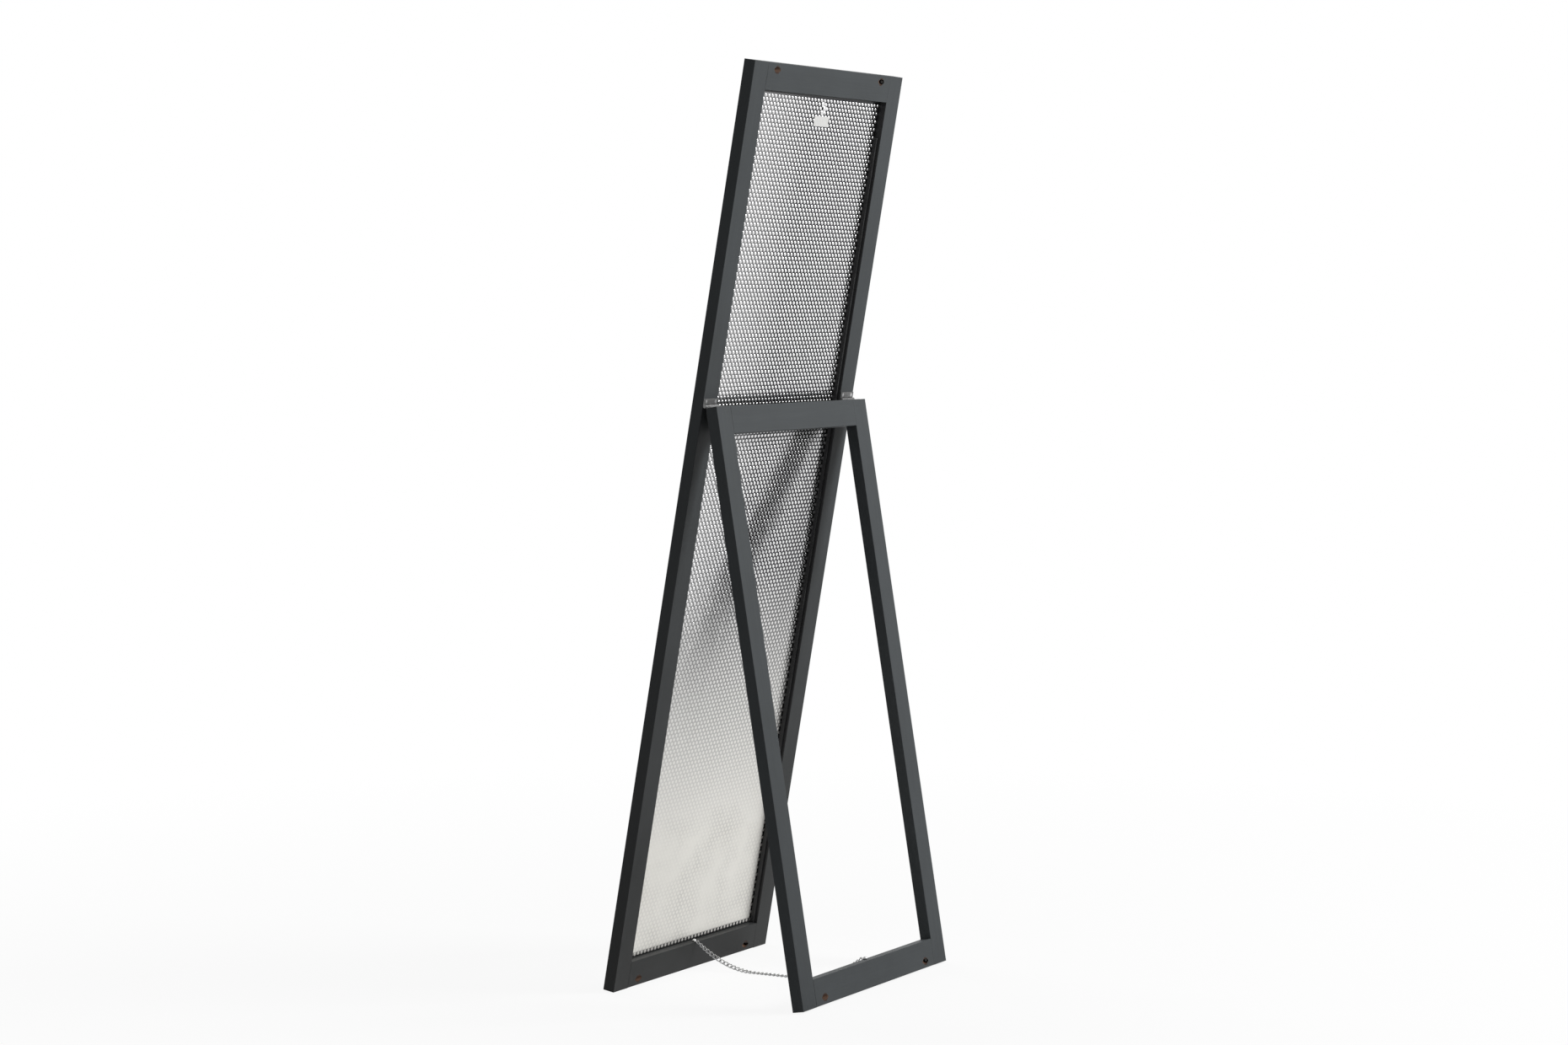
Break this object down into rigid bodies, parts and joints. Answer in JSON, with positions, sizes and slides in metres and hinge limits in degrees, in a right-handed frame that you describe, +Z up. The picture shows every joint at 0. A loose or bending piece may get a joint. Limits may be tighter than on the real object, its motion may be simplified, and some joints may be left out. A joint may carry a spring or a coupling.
{
  "type": "floor mirror",
  "caption": "Tall framed floor mirror with a foil-backed glass and a hinged rear leg frame, tied to it by a slack chain.",
  "frame": {"origin": "on the floor, under the middle of the standing object", "axes": "+Z up, the mirror faces -Y and the leg stands on the +Y side, +X across the mirror"},
  "size_m": [0.45, 0.3362, 1.352],
  "materials": {
    "black_wood": "satin charcoal paint",
    "pale_wood": "bare, planed",
    "mirror": "polished",
    "foil": "metallised bubble film",
    "sticker": "blank sticker",
    "zinc": "zinc plated"
  },
  "bodies": {
    "mirror_frame": {"frame_left_stile": "black_wood", "frame_right_stile": "black_wood", "frame_top_rail": "black_wood", "frame_bottom_rail": "black_wood", "mirror_glass": "mirror", "bubble_foil": "foil", "left_batten": "pale_wood", "right_batten": "pale_wood", "batten_brads": "zinc", "frame_dowels": "pale_wood", "frame_screws": "zinc", "label": "sticker", "left_hinge_frame_leaf": "zinc", "right_hinge_frame_leaf": "zinc", "left_hinge_pin": "zinc", "right_hinge_pin": "zinc", "frame_hinge_screws": "zinc", "chain_frame_screw": "zinc", "chain_frame_end_link": "zinc", "chain_links": "zinc", "chain_floor_links": "zinc"},
    "leg": {"leg_left_stile": "black_wood", "leg_right_stile": "black_wood", "leg_top_rail": "black_wood", "leg_bottom_rail": "black_wood", "leg_dowels": "pale_wood", "leg_screws": "zinc", "left_hinge_leg_leaf": "zinc", "right_hinge_leg_leaf": "zinc", "leg_hinge_screws": "zinc", "chain_leg_screw": "zinc", "chain_leg_end_link": "zinc"}
  },
  "joints": [
    {"name": "leg_fold", "type": "hinge", "parent": "mirror_frame", "child": "leg", "pos_m": [0, 0.00565, 0.86017], "axis": [1, 0, 0], "range_deg": [-19.52, 2.39], "deforming": ["chain_links", "chain_floor_links"]}
  ]
}
